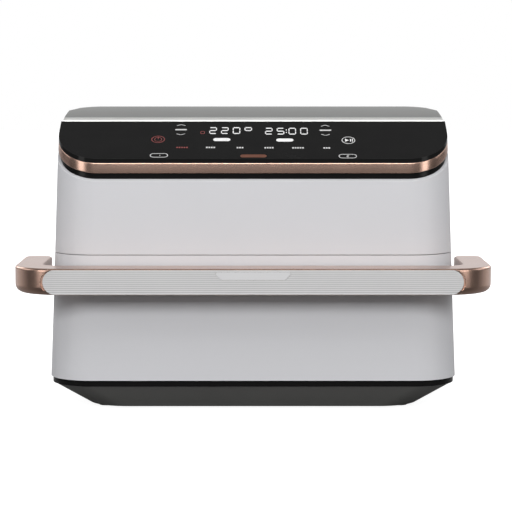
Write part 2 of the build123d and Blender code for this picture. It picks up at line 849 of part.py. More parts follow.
# Drawer front, a hollow white box that wraps both corners
front_low = body_base_z + seam_gap
front_high = seam_z - seam_gap
with BuildPart() as drawer_front:
    drafted_block(front_low, front_high, 0)
    drafted_block(front_low + front_wall, front_high - front_wall, front_wall, Mode.SUBTRACT)
    with Locations((0, front_back_y, 0)):
        Box(span, span, span, align=(Align.CENTER, Align.MAX, Align.CENTER), mode=Mode.INTERSECT)
    bracket_y = handle_front_y + bracket_setback
    bracket_z = handle_z - bracket_drop
    with Locations((0, bracket_y, bracket_z)):
        Box(span, bracket_depth + 2 * snug, bracket_height + 2 * snug, mode=Mode.SUBTRACT)
save(drawer_front, "drawer_front")

# Liner that closes the drawer front at the back and carries the basket
with BuildPart() as front_liner:
    drafted_block(front_low + front_wall + snug, front_high - front_wall - snug, front_wall + snug)
    with Locations((0, front_back_y, 0)):
        Box(span, liner_thick, span, align=(Align.CENTER, Align.MAX, Align.CENTER),
            mode=Mode.INTERSECT)
save(front_liner, "front_liner")

# Seal between the liner and the face frame
with BuildPart() as drawer_seal:
    with BuildSketch(facing(front_back_y)):
        with Locations((0, opening_mid_z)):
            RectangleRounded(2 * (opening_half + seal_reach), opening_high - opening_low
                             + 2 * seal_reach, opening_corner + seal_reach)
            RectangleRounded(2 * (opening_half + seal_reach - seal_width),
                             opening_high - opening_low + 2 * (seal_reach - seal_width),
                             opening_corner, mode=Mode.SUBTRACT)
    extrude(amount=-(seal_back_y - front_back_y))
save(drawer_seal, "drawer_seal")


# The basket's plan, grown or shrunk by an offset
def basket_block(grow, low, height, mode=Mode.ADD):
    with BuildSketch(Plane.XY.offset(low)) as outline:
        with Locations((0, basket_mid_y)):
            RectangleRounded(basket_outer_length + 2 * grow, basket_outer_depth + 2 * grow,
                             basket_radius + grow)
    extrude(outline.sketch, amount=height, mode=mode)


with BuildPart() as basket_hollow:
    basket_block(-basket_wall, basket_floor_z, basket_height + cutter_clear)
    fillet(basket_hollow.faces().sort_by(Axis.Z)[0].edges(),
           radius=basket_bottom_radius - basket_wall)

with BuildPart() as basket:
    basket_block(0, basket_low, basket_top_z - basket_low)
    fillet(basket.faces().sort_by(Axis.Z)[0].edges(), radius=basket_bottom_radius)
    basket_block(flange_reach, basket_top_z - flange_thick, flange_thick)
    add(basket_hollow.part, mode=Mode.SUBTRACT)
    with Locations((0, basket_mid_y, basket_floor_z)):
        for end in (-1, 1):
            for side in (-1, 1):
                with Locations((side * (divider_thick / 2 + fit + guide_thick / 2),
                                end * (basket_depth - guide_reach) / 2, 0)):
                    Box(guide_thick, guide_reach, divider_height,
                        align=(Align.CENTER, Align.CENTER, Align.MIN))
save(basket, "basket")

# Rails on the basket's sides, carried by the runners
with BuildPart() as basket_rails:
    for side in (-1, 1):
        with Locations((side * basket_outer_length / 2, basket_front_y + basket_radius, rail_low)):
            Box(rail_reach, basket_outer_depth - 2 * basket_radius, rail_height,
                align=(Align.MIN if side > 0 else Align.MAX, Align.MIN, Align.MIN))
save(basket_rails, "basket_rails")

# Loose divider that parts the basket in two
with BuildPart() as divider:
    with BuildSketch(Plane.YZ) as divider_side:
        with Locations((basket_mid_y, basket_floor_z + fit)):
            Rectangle(basket_depth - 2 * fit, divider_height - fit, align=(Align.CENTER, Align.MIN))
        chamfer(divider_side.vertices().group_by(Axis.Y)[0], length=basket_bottom_radius)
    extrude(amount=divider_thick / 2, both=True)
    with Locations((0, basket_mid_y, basket_floor_z + divider_height)):
        Box(divider_lip, basket_depth - 2 * guide_reach - 2 * fit, divider_thick,
            align=(Align.CENTER, Align.CENTER, Align.MAX))
save(divider, "divider")

# Left crisper plate and its bumpers
plate_low = basket_floor_z + plate_lift
plate_outer_x = basket_length / 2 - plate_margin
plate_length = plate_outer_x - plate_inner_x
plate_mid_x = -(plate_outer_x + plate_inner_x) / 2
plate_depth = basket_depth - 2 * plate_margin
bumper_pitch_x = plate_length - 2 * bumper_setback
bumper_pitch_y = plate_depth - 2 * bumper_setback
with BuildPart() as left_crisper_plate:
    with BuildSketch(Plane.XY.offset(plate_low)):
        with Locations((plate_mid_x, basket_mid_y)):
            RectangleRounded(plate_length, plate_depth, basket_radius - plate_margin)
            with GridLocations(slot_pitch_x, slot_pitch_y, slot_columns, slot_rows):
                SlotOverall(slot_length, slot_width, mode=Mode.SUBTRACT)
            with GridLocations(bumper_pitch_x, bumper_pitch_y, 2, 2):
                Circle(bumper_stem_radius + snug, mode=Mode.SUBTRACT)
    extrude(amount=plate_thick)

with BuildPart() as left_plate_bumpers:
    with Locations((plate_mid_x, basket_mid_y, basket_floor_z + fit)):
        with GridLocations(bumper_pitch_x, bumper_pitch_y, 2, 2):
            Cylinder(bumper_radius, plate_lift - fit, align=(Align.CENTER, Align.CENTER, Align.MIN))
            with Locations((0, 0, plate_lift - fit)):
                Cylinder(bumper_stem_radius, plate_thick,
                         align=(Align.CENTER, Align.CENTER, Align.MIN))
            with Locations((0, 0, plate_lift - fit + plate_thick)):
                Cylinder(bumper_cap_radius, bumper_cap,
                         align=(Align.CENTER, Align.CENTER, Align.MIN))

for kind, left in (("crisper_plate", left_crisper_plate), ("plate_bumpers", left_plate_bumpers)):
    save(left, f"left_{kind}")
    with BuildPart() as right:
        mirror(left.part, about=Plane.YZ)
    save(right, f"right_{kind}")

# A strip with the handle's plan between two offsets from its outer face
def handle_strip(outer, inner, low, height, mode=Mode.ADD, deep=None):
    outlines = []
    for inset, setback in ((outer, outer), (inner, deep or inner)):
        with BuildSketch(Plane.XY.offset(low)) as outline:
            with Locations((0, handle_front_y + setback)):
                Rectangle(2 * (handle_half - inset), arm_length - setback,
                          align=(Align.CENTER, Align.MIN))
            fillet(outline.vertices().group_by(Axis.Y)[0], radius=handle_corner - inset)
        outlines.append(outline.sketch)
    extrude(outlines[0] - outlines[1], amount=height, mode=mode)


# The handle insert's outline in front view, from the front plane back past the corners
def insert_outline(grow_x, grow_z):
    with BuildSketch(facing(handle_front_y - handle_thick)) as outline:
        with Locations((0, handle_z)):
            SlotOverall(2 * (insert_half + grow_x), insert_height + 2 * grow_z)
    extrude(outline.sketch, amount=-(handle_thick + handle_corner), mode=Mode.INTERSECT)


# The tab in the middle of the insert
def tab_outline(grow):
    top = tab_z + tab_height / 2 + grow
    low = tab_z - tab_height / 2 - grow
    with BuildSketch(facing(handle_front_y - handle_thick)) as outline:
        with BuildLine():
            Polyline(
                (-tab_top / 2 - grow, top),
                (tab_top / 2 + grow, top),
                (tab_bottom / 2 + grow, low),
                (-tab_bottom / 2 - grow, low),
                close=True,
            )
        make_face()
        fillet(outline.vertices(), radius=tab_corner)
    extrude(outline.sketch, amount=-(handle_thick + tab_depth + grow), mode=Mode.INTERSECT)


# Handle: a bar that runs across the front and back along both sides
handle_low = handle_z - handle_height / 2
arm_inner_x = handle_half - handle_thick
tab_z = handle_z + insert_height / 2 - tab_drop - tab_height / 2
bracket_inner_x = block_width(bracket_z) / 2 - front_wall - bracket_flange

with BuildPart() as insert_pocket:
    handle_strip(-cutter_clear, insert_depth + snug, handle_low, handle_height)
    insert_outline(snug, snug)

with BuildPart() as insert_step:
    handle_strip(-cutter_clear, insert_rim_depth, handle_low, handle_height)
    insert_outline(insert_rim, snug)

with BuildPart() as tab_pocket:
    handle_strip(-cutter_clear, tab_depth + snug, handle_low, handle_height)
    tab_outline(snug)

with BuildPart() as handle_bar:
    handle_strip(0, handle_thick, handle_low, handle_height, deep=handle_reach - bar_gap)
    fillet(handle_bar.edges().filter_by(Axis.Z).group_by(Axis.Y)[-1], radius=arm_end_radius)
    fillet(handle_bar.edges().group_by(Axis.Z)[0], radius=handle_low_edge)
    fillet(handle_bar.edges().group_by(Axis.Z)[-1], radius=handle_top_edge)
    add(insert_pocket.part, mode=Mode.SUBTRACT)
    add(insert_step.part, mode=Mode.SUBTRACT)
    with Locations((0, bracket_y, bracket_z)):
        Box(2 * (arm_inner_x + bracket_pocket) + 2 * snug, bracket_depth + 2 * snug,
            bracket_height + 2 * snug, mode=Mode.SUBTRACT)
        Cylinder(screw_radius + running, 2 * (arm_inner_x + bracket_pocket + handle_screw_bite),
                 rotation=(0, 90, 0), mode=Mode.SUBTRACT)
save(handle_bar, "handle_bar")

with BuildPart() as handle_insert:
    handle_strip(0, insert_depth, handle_low, handle_height)
    insert_outline(0, 0)
    add(tab_pocket.part, mode=Mode.SUBTRACT)
    for rib in range(rib_count):
        rib_z = handle_z + (rib - (rib_count - 1) / 2) * rib_pitch - rib_gap / 2
        handle_strip(-cutter_clear, rib_depth, rib_z, rib_gap, Mode.SUBTRACT)
save(handle_insert, "handle_insert")

with BuildPart() as handle_tab:
    handle_strip(0, tab_depth, handle_low, handle_height)
    tab_outline(0)
save(handle_tab, "handle_tab")

# Brackets through the sides of the drawer front into the handle's arms
with BuildPart() as handle_brackets:
    for side in (-1, 1):
        edge = Align.MIN if side > 0 else Align.MAX
        with Locations((side * bracket_inner_x, bracket_y, bracket_z)):
            Box(arm_inner_x + bracket_pocket - bracket_inner_x, bracket_depth, bracket_height,
                align=(edge, Align.CENTER, Align.CENTER))
            Box(bracket_flange / 2, bracket_depth + bracket_foot,
                bracket_height + 2 * bracket_flange, align=(edge, Align.CENTER, Align.CENTER))
    with Locations((0, bracket_y, bracket_z)):
        Cylinder(screw_radius + running, span, rotation=(0, 90, 0), mode=Mode.SUBTRACT)
save(handle_brackets, "handle_brackets")

with BuildPart() as handle_screws:
    for side in (-1, 1):
        with Locations((side * bracket_inner_x, bracket_y, bracket_z)):
            edge = Align.MIN if side > 0 else Align.MAX
            Cylinder(screw_radius, arm_inner_x + bracket_pocket + handle_screw_bite - bracket_inner_x,
                     rotation=(0, 90 * side, 0), align=(Align.CENTER, Align.CENTER, Align.MIN))
            Cylinder(screw_head_radius, screw_head, rotation=(0, 90 * side, 0),
                     align=(Align.CENTER, Align.CENTER, Align.MAX))
save(handle_screws, "handle_screws")


# A plane under the sloping glass, local y up the slope
def under_glass(depth):
    slope = math.radians(panel_angle)
    normal = (0, -math.sin(slope), math.cos(slope))
    underside = rim_z + trim_high
    origin = (0, rim_y - normal[1] * depth, underside - normal[2] * depth)
    return Plane(origin=origin, x_dir=(1, 0, 0), z_dir=normal)


# Display, control board and their tray
board_centre = panel_run / math.cos(math.radians(panel_angle)) / 2
with BuildPart() as display_module:
    with BuildSketch(under_glass(display_thick)):
        with Locations((0, board_centre)):
            Rectangle(display_width, display_depth)
    extrude(amount=display_thick)
save(display_module, "display_module")

with BuildPart() as control_board:
    with BuildSketch(under_glass(display_thick + board_thick)):
        with Locations((0, board_centre)):
            Rectangle(board_width, board_depth)
    extrude(amount=board_thick)
save(control_board, "control_board")

with BuildPart() as control_tray:
    with BuildSketch(under_glass(tray_depth)):
        with Locations((0, board_centre)):
            Rectangle(board_width + 2 * (tray_wall + fit), board_depth + 2 * (tray_wall + fit))
    extrude(amount=tray_depth)
    with BuildSketch(under_glass(tray_depth - tray_floor)):
        with Locations((0, board_centre)):
            Rectangle(board_width + 2 * fit, board_depth + 2 * fit)
    extrude(amount=tray_depth, mode=Mode.SUBTRACT)
    with BuildSketch(under_glass(tray_depth - tray_floor)):
        with Locations((0, board_centre)):
            with GridLocations(board_width - 2 * boss_radius, board_depth - 2 * boss_radius, 2, 2):
                Circle(tray_post_radius)
    extrude(amount=tray_depth - tray_floor - display_thick - board_thick)
save(control_tray, "control_tray")

# Switch that the closed drawer presses, and its plunger
switch_back_y = frame_y + frame_thick
with BuildPart() as drawer_switch:
    with Locations((switch_x, switch_back_y, switch_z)):
        Box(switch_width, switch_depth, switch_height,
            align=(Align.CENTER, Align.MIN, Align.CENTER))
    with BuildSketch(facing(switch_back_y)):
        with Locations((switch_x, switch_z)):
            Circle(plunger_radius + running)
    extrude(amount=-(switch_depth - switch_wall), mode=Mode.SUBTRACT)
save(drawer_switch, "drawer_switch")

with BuildPart() as switch_plunger:
    with BuildSketch(facing(front_back_y + fit)):
        with Locations((switch_x, switch_z)):
            Circle(plunger_radius)
    extrude(amount=-(switch_back_y - front_back_y - fit + switch_depth / 2))
save(switch_plunger, "switch_plunger")

# Thermostats on the deck and temperature sensors through the ceiling
with BuildPart() as thermostats:
    with Locations((-thermostat_x, fan_y, motor_z), (thermostat_x, fan_y, motor_z)):
        Cylinder(thermostat_radius, thermostat_height,
                 align=(Align.CENTER, Align.CENTER, Align.MIN))
save(thermostats, "thermostats")

# Screws of the rear panel
with BuildPart() as rear_screws:
    with BuildSketch(facing(body_rear_y - rear_screw_sink)):
        with Locations((0, (rear_panel_low + rear_panel_high) / 2)):
            with GridLocations(rear_screw_x * 2, rear_screw_z * 2, 2, 2):
                Circle(screw_radius)
    extrude(amount=housing_wall + rear_panel_wall)
save(rear_screws, "rear_screws")
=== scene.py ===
# %% [markdown]
# # Dual basket air fryer
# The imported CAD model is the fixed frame: every size and joint comes from it, in metres, with Z up
# and the front facing -Y. This lesson dresses it: rounded skins over the visible nodes, printed
# symbols on the sloping glass, one procedural finish for each material slot, and a plain studio.

# %% Load the frame
import json
from math import cos, radians, sin, tan

import bmesh
import bpy
from mathutils import Matrix, Vector

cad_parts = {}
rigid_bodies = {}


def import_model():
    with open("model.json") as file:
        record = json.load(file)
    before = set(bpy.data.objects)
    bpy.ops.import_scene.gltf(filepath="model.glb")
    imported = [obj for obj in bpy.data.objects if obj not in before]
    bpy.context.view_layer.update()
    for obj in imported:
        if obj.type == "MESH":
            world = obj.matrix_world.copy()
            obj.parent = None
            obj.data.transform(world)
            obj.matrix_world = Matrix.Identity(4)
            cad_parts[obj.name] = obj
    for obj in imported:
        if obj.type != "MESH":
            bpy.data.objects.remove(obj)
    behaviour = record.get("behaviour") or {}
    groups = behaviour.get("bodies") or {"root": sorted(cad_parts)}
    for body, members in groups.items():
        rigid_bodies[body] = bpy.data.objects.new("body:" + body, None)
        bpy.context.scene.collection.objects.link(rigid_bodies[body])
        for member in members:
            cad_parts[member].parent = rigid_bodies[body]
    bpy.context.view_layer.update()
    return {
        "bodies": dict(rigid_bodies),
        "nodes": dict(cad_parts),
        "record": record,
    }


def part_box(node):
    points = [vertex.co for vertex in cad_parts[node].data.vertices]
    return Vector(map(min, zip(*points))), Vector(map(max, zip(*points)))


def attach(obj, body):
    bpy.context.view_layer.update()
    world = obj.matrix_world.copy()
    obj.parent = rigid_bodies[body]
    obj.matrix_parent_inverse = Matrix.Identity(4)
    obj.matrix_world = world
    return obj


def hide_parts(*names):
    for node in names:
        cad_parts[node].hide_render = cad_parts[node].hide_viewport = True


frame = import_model()
body_of_node = {}
for body_name, body in frame["bodies"].items():
    for child in body.children_recursive:
        body_of_node[child.name] = body_name
slot_of_node = {row["node"]: row["material_slot"] for row in frame["record"]["subparts"]}
print("nodes", len(frame["nodes"]), "slots", len(set(slot_of_node.values())))

# %% [markdown]
# ## Camera
# The photograph is a product shot from about two metres, a little above the lid, with a long lens.
# A camera could be placed by eye, but the levels and widths of the body fix it to a pixel:
# it stands 2.2 m in front of the centre and looks down by five and a half degrees. The small turn
# about Z places the middle of the picture where the photograph has it.

# %% Camera
lens_length = 138.6
sensor_width = 36.0
camera_distance = 2.2035
camera_height = 0.3637
look_down = 5.491
look_aside = -0.083
camera_data = bpy.data.cameras.new("camera")
camera_data.lens = lens_length
camera_data.sensor_width = sensor_width
camera = bpy.data.objects.new("camera", camera_data)
camera.location = (0.0, -camera_distance, camera_height)
camera.rotation_euler = (radians(90 - look_down), 0.0, radians(look_aside))
bpy.context.scene.collection.objects.link(camera)
bpy.context.scene.camera = camera
bpy.context.scene.view_settings.view_transform = "Standard"
print("camera", tuple(camera.location), "lens", camera_data.lens)

# %% [markdown]
# ## Shared node groups
# A finish on a real appliance is never one flat colour. The same few effects come back on every
# material: a soft change of tone, a fine moulded grain, rubbed edges with a painted highlight along
# them, a little dust on top, and painted shade in the grooves of a ribbed face. They could be drawn
# anew in each material, but a node group is built once and placed in every material with its own
# values.


# %% A helper that starts a node group
def new_group(name, inputs, outputs):
    group = bpy.data.node_groups.new(name, "ShaderNodeTree")
    for label, kind, value in inputs:
        socket = group.interface.new_socket(label, in_out="INPUT", socket_type=kind)
        socket.default_value = value
    for label, kind in outputs:
        group.interface.new_socket(label, in_out="OUTPUT", socket_type=kind)
    start = group.nodes.new("NodeGroupInput")
    end = group.nodes.new("NodeGroupOutput")
    print("group", name, len(inputs), "in", len(outputs), "out")
    return group, start, end


def add_node(tree, kind, **values):
    node = tree.nodes.new(kind)
    for key, value in values.items():
        setattr(node, key, value)
    return node


# %% [markdown]
# Soft tone: a broad noise lightens and darkens the colour by a few percent, as light handling,
# flow lines in the mould and uneven coating do. It also gives a mask for the gloss.

# %% Soft tone
soft_tone, start, end = new_group(
    "soft_tone",
    [("Color", "NodeSocketColor", (0.5, 0.5, 0.5, 1)), ("Scale", "NodeSocketFloat", 12.0),
     ("Amount", "NodeSocketFloat", 0.05)],
    [("Color", "NodeSocketColor"), ("Mask", "NodeSocketFloat")],
)
where = add_node(soft_tone, "ShaderNodeTexCoord")
noise = add_node(soft_tone, "ShaderNodeTexNoise")
noise.inputs["Detail"].default_value = 5.0
noise.inputs["Roughness"].default_value = 0.6
shade = add_node(soft_tone, "ShaderNodeMath", operation="MULTIPLY_ADD")
shade.inputs[2].default_value = 1.0
centred = add_node(soft_tone, "ShaderNodeMath", operation="SUBTRACT")
centred.inputs[1].default_value = 0.5
toned = add_node(soft_tone, "ShaderNodeMix", data_type="RGBA", blend_type="MULTIPLY")
toned.inputs["Factor"].default_value = 1.0
links = soft_tone.links
links.new(where.outputs["Object"], noise.inputs["Vector"])
links.new(start.outputs["Scale"], noise.inputs["Scale"])
links.new(noise.outputs["Fac"], centred.inputs[0])
links.new(centred.outputs[0], shade.inputs[0])
links.new(start.outputs["Amount"], shade.inputs[1])
links.new(start.outputs["Color"], toned.inputs["A"])
links.new(shade.outputs[0], toned.inputs["B"])
links.new(toned.outputs["Result"], end.inputs["Color"])
links.new(noise.outputs["Fac"], end.inputs["Mask"])

# %% [markdown]
# Fine grain: the tiny pits of a spark-eroded mould or an orange peel in lacquer. Two noises of
# different size are added, so the pattern doesn't look regular up close.

# %% Fine grain
fine_grain, start, end = new_group(
    "fine_grain",
    [("Scale", "NodeSocketFloat", 900.0), ("Stretch", "NodeSocketVector", (1.0, 1.0, 1.0))],
    [("Height", "NodeSocketFloat")],
)
where = add_node(fine_grain, "ShaderNodeTexCoord")
stretched = add_node(fine_grain, "ShaderNodeVectorMath", operation="MULTIPLY")
pits = add_node(fine_grain, "ShaderNodeTexNoise")
pits.inputs["Detail"].default_value = 3.0
broad = add_node(fine_grain, "ShaderNodeTexNoise")
broad.inputs["Detail"].default_value = 1.0
smaller = add_node(fine_grain, "ShaderNodeMath", operation="MULTIPLY")
smaller.inputs[1].default_value = 0.31
total = add_node(fine_grain, "ShaderNodeMath", operation="ADD")
links = fine_grain.links
links.new(where.outputs["Object"], stretched.inputs[0])
links.new(start.outputs["Stretch"], stretched.inputs[1])
links.new(stretched.outputs[0], pits.inputs["Vector"])
links.new(stretched.outputs[0], broad.inputs["Vector"])
links.new(start.outputs["Scale"], pits.inputs["Scale"])
links.new(start.outputs["Scale"], smaller.inputs[0])
links.new(smaller.outputs[0], broad.inputs["Scale"])
links.new(pits.outputs["Fac"], total.inputs[0])
links.new(broad.outputs["Fac"], total.inputs[1])
links.new(total.outputs[0], end.inputs["Height"])

# %% [markdown]
# Rubbed edges with painted light: where two faces meet, the edge takes a colour of its own. A
# lighter edge colour is a painted highlight along the edge, with a little rubbing from handling; the
# tab's dark one is painted shade in the gap round it. The Bevel node blurs the normal near an edge,
# so the difference from the true normal marks the edges.

# %% Rubbed edges with painted light
rubbed_edges_and_painted_light, start, end = new_group(
    "rubbed_edges_and_painted_light",
    [("Color", "NodeSocketColor", (0.5, 0.5, 0.5, 1)),
     ("Edge", "NodeSocketColor", (0.8, 0.8, 0.8, 1)),
     ("Amount", "NodeSocketFloat", 0.3), ("Radius", "NodeSocketFloat", 0.0015)],
    [("Color", "NodeSocketColor"), ("Mask", "NodeSocketFloat")],
)
blurred = add_node(rubbed_edges_and_painted_light, "ShaderNodeBevel", samples=4)
true_normal = add_node(rubbed_edges_and_painted_light, "ShaderNodeNewGeometry")
match = add_node(rubbed_edges_and_painted_light, "ShaderNodeVectorMath", operation="DOT_PRODUCT")
edge_mask = add_node(rubbed_edges_and_painted_light, "ShaderNodeMapRange")
edge_mask.inputs["From Min"].default_value = 0.995
edge_mask.inputs["From Max"].default_value = 0.80
where = add_node(rubbed_edges_and_painted_light, "ShaderNodeTexCoord")
breakup = add_node(rubbed_edges_and_painted_light, "ShaderNodeTexNoise")
breakup.inputs["Scale"].default_value = 160.0
breakup.inputs["Detail"].default_value = 4.0
uneven = add_node(rubbed_edges_and_painted_light, "ShaderNodeMath", operation="MULTIPLY")
amount = add_node(rubbed_edges_and_painted_light, "ShaderNodeMath", operation="MULTIPLY")
# The edge colour mixed in here paints a highlight along the edge; on the tab it paints shade.
edge_coloured = add_node(rubbed_edges_and_painted_light, "ShaderNodeMix", data_type="RGBA")
links = rubbed_edges_and_painted_light.links
links.new(start.outputs["Radius"], blurred.inputs["Radius"])
links.new(blurred.outputs["Normal"], match.inputs[0])
links.new(true_normal.outputs["Normal"], match.inputs[1])
links.new(match.outputs["Value"], edge_mask.inputs["Value"])
links.new(where.outputs["Object"], breakup.inputs["Vector"])
links.new(edge_mask.outputs["Result"], uneven.inputs[0])
links.new(breakup.outputs["Fac"], uneven.inputs[1])
links.new(uneven.outputs[0], amount.inputs[0])
links.new(start.outputs["Amount"], amount.inputs[1])
links.new(amount.outputs[0], edge_coloured.inputs["Factor"])
links.new(start.outputs["Color"], edge_coloured.inputs["A"])
links.new(start.outputs["Edge"], edge_coloured.inputs["B"])
links.new(edge_coloured.outputs["Result"], end.inputs["Color"])
links.new(amount.outputs[0], end.inputs["Mask"])

# %% [markdown]
# Light dust: faces that look up collect a faint, pale, matt film. The normal's Z is the mask and a
# noise breaks it up, so it never reads as a painted layer.

# %% Light dust
light_dust, start, end = new_group(
    "light_dust",
    [("Color", "NodeSocketColor", (0.5, 0.5, 0.5, 1)), ("Amount", "NodeSocketFloat", 0.05)],
    [("Color", "NodeSocketColor"), ("Mask", "NodeSocketFloat")],
)
facing = add_node(light_dust, "ShaderNodeNewGeometry")
split = add_node(light_dust, "ShaderNodeSeparateXYZ")
upward = add_node(light_dust, "ShaderNodeMapRange")
upward.inputs["From Min"].default_value = 0.5
where = add_node(light_dust, "ShaderNodeTexCoord")
specks = add_node(light_dust, "ShaderNodeTexNoise")
specks.inputs["Scale"].default_value = 45.0
specks.inputs["Detail"].default_value = 8.0
patchy = add_node(light_dust, "ShaderNodeMath", operation="MULTIPLY")
weight = add_node(light_dust, "ShaderNodeMath", operation="MULTIPLY")
dusted = add_node(light_dust, "ShaderNodeMix", data_type="RGBA")
dusted.inputs["B"].default_value = (0.62, 0.60, 0.57, 1)
links = light_dust.links
links.new(facing.outputs["Normal"], split.inputs[0])
links.new(split.outputs["Z"], upward.inputs["Value"])
links.new(where.outputs["Object"], specks.inputs["Vector"])
links.new(upward.outputs["Result"], patchy.inputs[0])
links.new(specks.outputs["Fac"], patchy.inputs[1])
links.new(patchy.outputs[0], weight.inputs[0])
links.new(start.outputs["Amount"], weight.inputs[1])
links.new(weight.outputs[0], dusted.inputs["Factor"])
links.new(start.outputs["Color"], dusted.inputs["A"])
links.new(dusted.outputs["Result"], end.inputs["Color"])
links.new(weight.outputs[0], end.inputs["Mask"])

# %% [markdown]
# Painted groove shade: the handle's insert has fine level ribs. The height over the ground is
# divided by the ribs' pitch, and the start of each step is darkened a little: painted shade in the
# valley between two ribs.

# %% Painted groove shade
painted_groove_shade, start, end = new_group(
    "painted_groove_shade",
    [("Color", "NodeSocketColor", (0.5, 0.5, 0.5, 1)), ("Pitch", "NodeSocketFloat", 0.0021),
     ("Amount", "NodeSocketFloat", 0.3)],
    [("Color", "NodeSocketColor"), ("Mask", "NodeSocketFloat")],
)
where = add_node(painted_groove_shade, "ShaderNodeTexCoord")
split = add_node(painted_groove_shade, "ShaderNodeSeparateXYZ")
steps = add_node(painted_groove_shade, "ShaderNodeMath", operation="DIVIDE")
step_part = add_node(painted_groove_shade, "ShaderNodeMath", operation="FRACT")
valley = add_node(painted_groove_shade, "ShaderNodeMapRange")
valley.inputs["From Min"].default_value = 0.45
valley.inputs["From Max"].default_value = 0.20
weight = add_node(painted_groove_shade, "ShaderNodeMath", operation="MULTIPLY")
# The dark colour mixed in here is painted shade in the valleys between the ribs.
groove_shaded = add_node(painted_groove_shade, "ShaderNodeMix", data_type="RGBA")
groove_shaded.inputs["B"].default_value = (0.22, 0.22, 0.22, 1)
links = painted_groove_shade.links
links.new(where.outputs["Object"], split.inputs[0])
links.new(split.outputs["Z"], steps.inputs[0])
links.new(start.outputs["Pitch"], steps.inputs[1])
links.new(steps.outputs[0], step_part.inputs[0])
links.new(step_part.outputs[0], valley.inputs["Value"])
links.new(valley.outputs["Result"], weight.inputs[0])
links.new(start.outputs["Amount"], weight.inputs[1])
links.new(weight.outputs[0], groove_shaded.inputs["Factor"])
links.new(start.outputs["Color"], groove_shaded.inputs["A"])
links.new(groove_shaded.outputs["Result"], end.inputs["Color"])
links.new(weight.outputs[0], end.inputs["Mask"])

# %% [markdown]
# ## Finishes
# One function places the groups in a material, with the Principled shader outside them.
# The values that differ are in a table: colour, gloss, metal, grain size and depth, how much the
# tone changes, the colour of an edge (a painted highlight along it, on the tab painted shade, with
# some rubbing), dust, and the painted shade in a ribbed face's grooves. The gloss follows the tone's
# mask, so a highlight breaks up a little, as on real plastic and lacquer.

# %% Build a finish
grain_height = 0.0004
gloss_swing = 0.12


def make_finish(name, colour, gloss, metal=0.0, grain=1100.0, depth=0.03, stretch=(1, 1, 1),
                tone=0.06, tone_scale=14.0, edge=None, edge_mix=0.25, radius=0.0012, dust=0.04,
                shine=0.5, groove_shade=0.0):
    material = bpy.data.materials.new(name)
    material.use_nodes = True
    tree = material.node_tree
    shader = tree.nodes["Principled BSDF"]
    tone_node = add_node(tree, "ShaderNodeGroup", node_tree=soft_tone)
    tone_node.inputs["Color"].default_value = (*colour, 1)
    tone_node.inputs["Scale"].default_value = tone_scale
    tone_node.inputs["Amount"].default_value = tone
    # The edge colour paints a highlight along the edges; on the tab it paints shade in the gap.
    edge_colour_node = add_node(tree, "ShaderNodeGroup", node_tree=rubbed_edges_and_painted_light)
    edge_colour_node.inputs["Edge"].default_value = (*(edge or colour), 1)
    edge_colour_node.inputs["Amount"].default_value = edge_mix
    edge_colour_node.inputs["Radius"].default_value = radius
    dust_node = add_node(tree, "ShaderNodeGroup", node_tree=light_dust)
    dust_node.inputs["Amount"].default_value = dust
    grain_node = add_node(tree, "ShaderNodeGroup", node_tree=fine_grain)
    grain_node.inputs["Scale"].default_value = grain
    grain_node.inputs["Stretch"].default_value = stretch
    bump = add_node(tree, "ShaderNodeBump")
    bump.inputs["Strength"].default_value = depth
    bump.inputs["Distance"].default_value = grain_height
    rough = add_node(tree, "ShaderNodeMapRange")
    rough.inputs["To Min"].default_value = gloss * (1 - gloss_swing)
    rough.inputs["To Max"].default_value = min(1.0, gloss * (1 + gloss_swing))
    shader.inputs["Metallic"].default_value = metal
    shader.inputs["Specular IOR Level"].default_value = shine
    tree.links.new(tone_node.outputs["Color"], edge_colour_node.inputs["Color"])
    tree.links.new(edge_colour_node.outputs["Color"], dust_node.inputs["Color"])
    # Painted shade in the grooves of a ribbed face.
    groove_shade_node = add_node(tree, "ShaderNodeGroup", node_tree=painted_groove_shade)
    groove_shade_node.inputs["Amount"].default_value = groove_shade
    tree.links.new(dust_node.outputs["Color"], groove_shade_node.inputs["Color"])
    tree.links.new(groove_shade_node.outputs["Color"], shader.inputs["Base Color"])
    tree.links.new(tone_node.outputs["Mask"], rough.inputs["Value"])
    tree.links.new(rough.outputs["Result"], shader.inputs["Roughness"])
    tree.links.new(grain_node.outputs["Height"], bump.inputs["Height"])
    tree.links.new(bump.outputs["Normal"], shader.inputs["Normal"])
    return material
